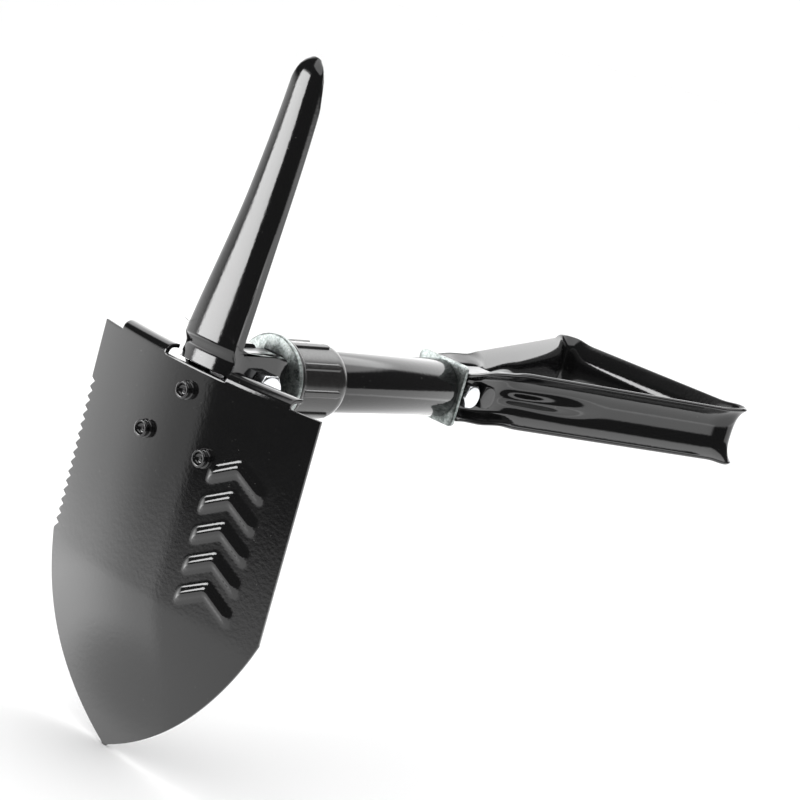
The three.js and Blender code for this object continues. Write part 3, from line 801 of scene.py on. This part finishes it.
collar_low, collar_high = span("lock_collar")
collar_start = collar_low.y
collar_length = collar_high.y - collar_low.y
flange_radius = collar_high.x
body_radius = 15.9
collar_bore = 13.3
rib_count = 9
rib_height = 0.95
rib_half = 1.55
rib_start = 3.0
rib_end = collar_length - 6.2
shoulder_start = collar_length - 4.5
body_start = 3.3
first_rib = math.radians(-2.5)
around = 288
collar_profile = [(0, collar_bore), (0, flange_radius - 0.7), (0.2, flange_radius - 0.2),
                  (0.7, flange_radius), (1.5, flange_radius), (2.1, flange_radius - 0.2),
                  (2.5, flange_radius - 0.8), (2.8, body_radius + 0.35),
                  (body_start, body_radius)]
collar_profile += [(body_start + (rib_end - 5.3) * step / 12, body_radius)
                   for step in range(1, 13)]
collar_profile += [(rib_end - 2 + 3 * step / 8, body_radius) for step in range(1, 9)]
collar_profile += [(collar_length - 4.2, body_radius - 0.1), (collar_length - 3, body_radius - 0.35),
                   (collar_length - 1.9, body_radius - 0.8), (collar_length - 1, body_radius - 1.4),
                   (collar_length - 0.3, body_radius - 2.05), (collar_length, collar_bore + 0.2),
                   (collar_length - 0.3, collar_bore), (0, collar_bore)]


def rib_rise(angle, along, radius):
    """How far the nearest grip rib stands above the collar's body."""
    pitch = 2 * math.pi / rib_count
    from_rib = abs((angle - first_rib + pitch / 2) % pitch - pitch / 2) * radius
    if along < rib_start or along > shoulder_start:
        return 0
    past_end = max(0, along - (rib_end - rib_half))
    distance = math.hypot(from_rib, past_end)
    return rib_height * (1 - smooth_share(distance, rib_half - 0.35, rib_half + 0.15))


no_selection()
bpy.ops.mesh.primitive_grid_add(x_subdivisions=around, y_subdivisions=len(collar_profile) - 1,
                                size=2)
collar = bpy.context.object
collar.name = "lock_collar_nut"
for vertex in collar.data.vertices:
    column = round((vertex.co.x + 1) / 2 * around)
    row = round((vertex.co.y + 1) / 2 * (len(collar_profile) - 1))
    along, radius = collar_profile[row]
    angle = 2 * math.pi * (column % around) / around
    if radius > body_radius - 0.01:
        radius = max(radius, body_radius + rib_rise(angle, along, radius))
    vertex.co = (radius * math.cos(angle), collar_start + along, radius * math.sin(angle))
bpy.ops.object.mode_set(mode="EDIT")
bpy.ops.mesh.select_all(action="SELECT")
bpy.ops.mesh.remove_doubles(threshold=0.0005)
bpy.ops.mesh.normals_make_consistent(inside=False)
bpy.ops.object.mode_set(mode="OBJECT")
round_shading(collar, 50)
finish_piece(collar, moulded, "collar", ["lock_collar"])


# ---- Shaft tube ---------------------------------------------------------------------------
# A 26 mm steel tube with a 1.6 mm wall, powder coated gloss black. Its cut ends are deburred.
tube_low, tube_high = span("shaft_tube")
tube_radius = tube_high.x
tube_wall = 1.6
tube_bore = tube_radius - tube_wall
tube_length = tube_high.y - tube_low.y
tube = turned("shaft_tube_coated", 128, [
    (0, tube_bore + 0.2), (0, tube_radius - 0.35), (0.1, tube_radius - 0.1), (0.35, tube_radius),
    (tube_length / 2, tube_radius), (tube_length - 0.35, tube_radius),
    (tube_length - 0.1, tube_radius - 0.1), (tube_length, tube_radius - 0.35),
    (tube_length, tube_bore + 0.2), (tube_length - 0.2, tube_bore), (0.2, tube_bore),
    (0, tube_bore + 0.2)], True)
lay(tube, to_rear, (0, tube_low.y, 0))
round_shading(tube, 50)
finish_piece(tube, powder_coat, "shaft", ["shaft_tube"])


# ---- End plate ----------------------------------------------------------------------------
# A square galvanised plate between the tube and the D handle, with a slot for the handle's
# tang. It is cut from sheet, with rounded corners and its edges eased.
plate_low, plate_high = span("end_plate")
plate_corner = 2.4
plate_slot = (14.4, 20, 18.6)
no_selection()
bpy.ops.mesh.primitive_cube_add(size=1, location=(plate_low + plate_high) / 2,
                                scale=plate_high - plate_low)
plate = bpy.context.object
plate.name = "end_plate_sheet"
bpy.ops.object.transform_apply(location=True, rotation=True, scale=True)
bpy.ops.object.mode_set(mode="EDIT")
bpy.ops.mesh.select_mode(type="EDGE")
bpy.ops.mesh.select_all(action="DESELECT")
mesh = bmesh.from_edit_mesh(plate.data)
for edge in mesh.edges:
    direction = edge.verts[0].co - edge.verts[1].co
    edge.select = abs(direction.y) > 0.5
bmesh.update_edit_mesh(plate.data)
bpy.ops.mesh.bevel(offset=plate_corner, segments=6, affect="EDGES")
bpy.ops.object.mode_set(mode="OBJECT")
no_selection()
bpy.ops.mesh.primitive_cube_add(size=1, location=(0, plate_low.y, 0), scale=plate_slot)
cut_with(plate, bpy.context.object, "DIFFERENCE")
finish_edges(plate, 0.3, 2, 50)
apply_modifiers(plate)
round_shading(plate, 40)
finish_piece(plate, galvanised, "shaft", ["end_plate"])


# ---- D handle -----------------------------------------------------------------------------
# One strip of 1.8 mm steel, rolled hollow outwards, bent into a triangle and bolted through
# its two arms. A flat pocket is pressed round the bolts, and the web rises behind it in an
# almond-shaped hump between two valleys. The lips flare a little at the outer corners.
handle_low, handle_high = span("handle_loop")
strip_half = 12.2
strip_thick = 1.8
strip_depth = 5.4
lip_line = 14.4
arm_straight = 34.0
arm_bend = 8.0
corner_half = 60.0
corner_size = 12.0
hump_rise = 3.6
corner_flattening = 0.52
lip_flare = 0.7
corner_flare = 0.9
station_step = 2.4
arm_front = handle_low.y
grip_rear = handle_high.y


def rounded_corner(before, corner, after, size, steps):
    start = corner + (before - corner).normalized() * size
    end = corner + (after - corner).normalized() * size
    points = []
    for step in range(steps + 1):
        share = step / steps
        points.append(start * (1 - share) ** 2 + corner * 2 * share * (1 - share)
                      + end * share ** 2)
    return points


def run_straight(start, end):
    steps = max(1, round((end - start).length / station_step))
    return [start + (end - start) * step / steps for step in range(steps)]


arm_end = Vector((lip_line, arm_front))
bend = Vector((lip_line, arm_front + arm_straight))
outer_corner = Vector((corner_half, grip_rear))
grip_middle = Vector((0, grip_rear))
corner_steps = 16
bend_points = rounded_corner(arm_end, bend, outer_corner, arm_bend, 6)
corner_points = rounded_corner(bend, outer_corner, grip_middle, corner_size, corner_steps)
half_line = run_straight(arm_end, bend_points[0]) + bend_points[:-1]
half_line += run_straight(bend_points[-1], corner_points[0]) + corner_points[:-1]
half_line += run_straight(corner_points[-1], grip_middle)
handle_line = half_line + [grip_middle]
handle_line += [Vector((-point.x, point.y)) for point in reversed(half_line)]
along_line = [0.0]
for before, after in zip(handle_line, handle_line[1:]):
    along_line.append(along_line[-1] + (after - before).length)
to_corner = along_line[handle_line.index(corner_points[corner_steps // 2])]


def strip_surface(travel, height):
    """Depth of the hollow's surface behind the lips, and the strip's own height there."""
    near_end = min(travel, along_line[-1] - travel)
    at_corner = 1 - smooth_share(abs(near_end - to_corner), 4, 16)
    share = height / strip_half
    hollow = 1 - abs(share) ** 2.6
    pocket = 1 - smooth_share(abs(height), 7.4, 11.6)
    in_pocket = 1 - smooth_share(near_end, 32, 42)
    form = hollow + (pocket - hollow) * in_pocket
    hump_length = smooth_share(near_end, 31, 41) * (1 - smooth_share(near_end, 44, 96))
    hump_width = 2.2 + 2.6 * smooth_share(near_end, 36, 96)
    hump = hump_length * math.exp(-(height / hump_width) ** 2)
    depth = strip_depth * form * (1 - corner_flattening * at_corner) - hump_rise * hump
    tall = height * (0.88 + 0.12 * smooth_share(near_end, 2, 20) + 0.10 * at_corner)
    flare = (lip_flare + corner_flare * at_corner) * abs(share) ** 6
    return flare - depth, tall


strip_columns = 40
no_selection()
bpy.ops.mesh.primitive_grid_add(x_subdivisions=strip_columns,
                                y_subdivisions=len(handle_line) - 1, size=2)
handle = bpy.context.object
handle.name = "d_handle_strip"
last_station = len(handle_line) - 1
for vertex in handle.data.vertices:
    column = round((vertex.co.x + 1) / 2 * strip_columns)
    station = round((vertex.co.y + 1) / 2 * last_station)
    into = handle_line[station] - handle_line[max(station - 1, 0)]
    outof = handle_line[min(station + 1, last_station)] - handle_line[station]
    along = (into.normalized() + outof.normalized()).normalized()
    outward = Vector((along.y, -along.x))
    height = strip_half * (2 * column / strip_columns - 1)
    away, tall = strip_surface(along_line[station], height)
    foot = handle_line[station] + outward * away
    vertex.co = (foot.x, foot.y, tall)
strip = handle.modifiers.new("strip", "SOLIDIFY")
strip.thickness = strip_thick
strip.offset = 1
strip.use_even_offset = False
finish_edges(handle, 0.55, 3, 55)
apply_modifiers(handle)
bpy.ops.object.mode_set(mode="EDIT")
bpy.ops.mesh.select_all(action="SELECT")
bpy.ops.mesh.normals_make_consistent(inside=False)
bpy.ops.object.mode_set(mode="OBJECT")
round_shading(handle, 50)
finish_piece(handle, powder_coat, "shaft", ["handle_loop"])


# ---- Handle bolts -------------------------------------------------------------------------
# Two M6 hex bolts and nuts clamp the D handle's arms to the tang. The one by the plate is
# bright zinc. The tie bolt behind it was fitted before coating, so it is black all over.
m6_across = 10
for bolt_node, nut_node, finish, slot in (
        ("handle_bolt", "handle_nut", bright_zinc, "bright_zinc"),
        ("tie_bolt", "tie_nut", powder_coat, "black_powder_coat")):
    bolt = hex_bolt(bolt_node + "_m6", bolt_node, m6_across, shank=3.0, head=4.0,
                    thread_from=9.0)
    finish_piece(bolt, finish, "shaft", [bolt_node])
    nut = hex_nut(nut_node + "_m6", nut_node, m6_across, bore=3.1)
    finish_piece(nut, finish, "shaft", [nut_node])


# ---- Hidden steelwork ---------------------------------------------------------------------
# The bracket behind the blade is coated with it. The tongue, its plug and pin, and the
# handle's tang are plain oiled steel, and the hinge's spacer rings are zinc plated.
def oiled_steel():
    """Mild steel with mill scale: dark grey, in uneven patches."""
    material, nodes, links, shader = new_material("oiled_mild_steel")
    where = nodes.new("ShaderNodeTexCoord").outputs["Object"]
    scale = noise(nodes, links, where, 220, 5, 0.65)
    links.new(mixed(nodes, links, scale, (0.16, 0.16, 0.165, 1), (0.36, 0.36, 0.36, 1)),
              shader.inputs["Base Color"])
    links.new(ramp(nodes, links, scale, 0.3, 0.7, 0.3, 0.5), shader.inputs["Roughness"])
    bump = nodes.new("ShaderNodeBump")
    bump.inputs["Strength"].default_value = 0.2
    bump.inputs["Distance"].default_value = 0.0001
    links.new(scale, bump.inputs["Height"])
    links.new(bump.outputs[0], shader.inputs["Normal"])
    shader.inputs["Metallic"].default_value = 1.0
    return material


steel = oiled_steel()
hidden_finishes = {
    "blade_bracket": powder_coat,
    "hinge_spacer_near": bright_zinc,
    "hinge_spacer_far": bright_zinc,
    "hinge_tongue": steel,
    "front_plug": steel,
    "tongue_pin": steel,
    "handle_tang": steel,
}
for node_name, finish in hidden_finishes.items():
    slots = frame["nodes"][node_name].data.materials
    slots.clear()
    slots.append(finish)
